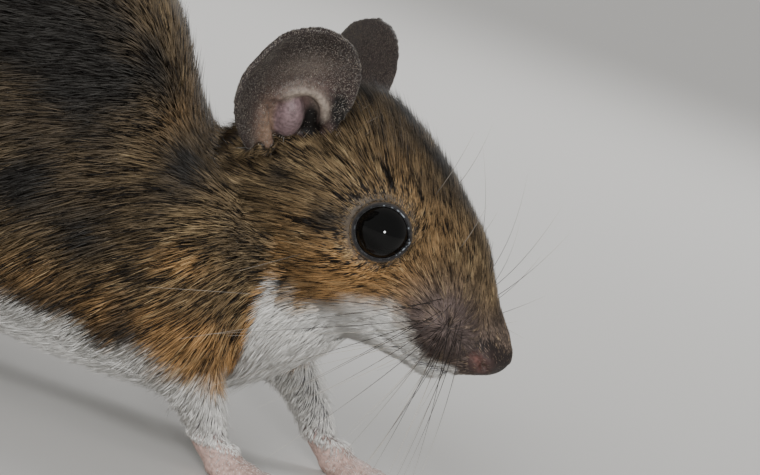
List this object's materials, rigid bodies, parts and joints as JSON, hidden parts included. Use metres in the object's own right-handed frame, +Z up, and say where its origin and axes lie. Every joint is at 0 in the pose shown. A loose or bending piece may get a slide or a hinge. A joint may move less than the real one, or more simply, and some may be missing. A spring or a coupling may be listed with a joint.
{
  "type": "field mouse",
  "caption": "Life-size crouching field mouse with its head low, large round ears, bulging dark eyes, small clawed paws and a long tail trailing on the floor.",
  "frame": {"origin": "centre of the bounding box's underside, on the floor that the soles and the tail lie on", "axes": "+X forward along the body towards the nose, +Y to the animal's left, +Z up"},
  "size_m": [0.138, 0.0692, 0.0409],
  "materials": {
    "coat": "agouti fur, brown above with dark tips and white below",
    "ear_skin": "thin bare skin with fine down",
    "eye": "wet black",
    "paw_skin": "pink skin under thin pale hair",
    "tail_skin": "ringed scales with short hairs",
    "whisker": "dark hair with pale tips",
    "claw": "pale horn"
  },
  "bodies": {
    "root": {"head": "coat", "neck": "coat", "trunk": "coat", "foreleg_left": "coat", "foreleg_right": "coat", "hindleg_left": "coat", "hindleg_right": "coat", "ear_left": "ear_skin", "ear_right": "ear_skin", "eye_left": "eye", "eye_right": "eye", "forepaw_left": "paw_skin", "forepaw_right": "paw_skin", "hindfoot_left": "paw_skin", "hindfoot_right": "paw_skin", "tail_base": "tail_skin", "tail_middle": "tail_skin", "tail_tip": "tail_skin"}
  },
  "joints": []
}
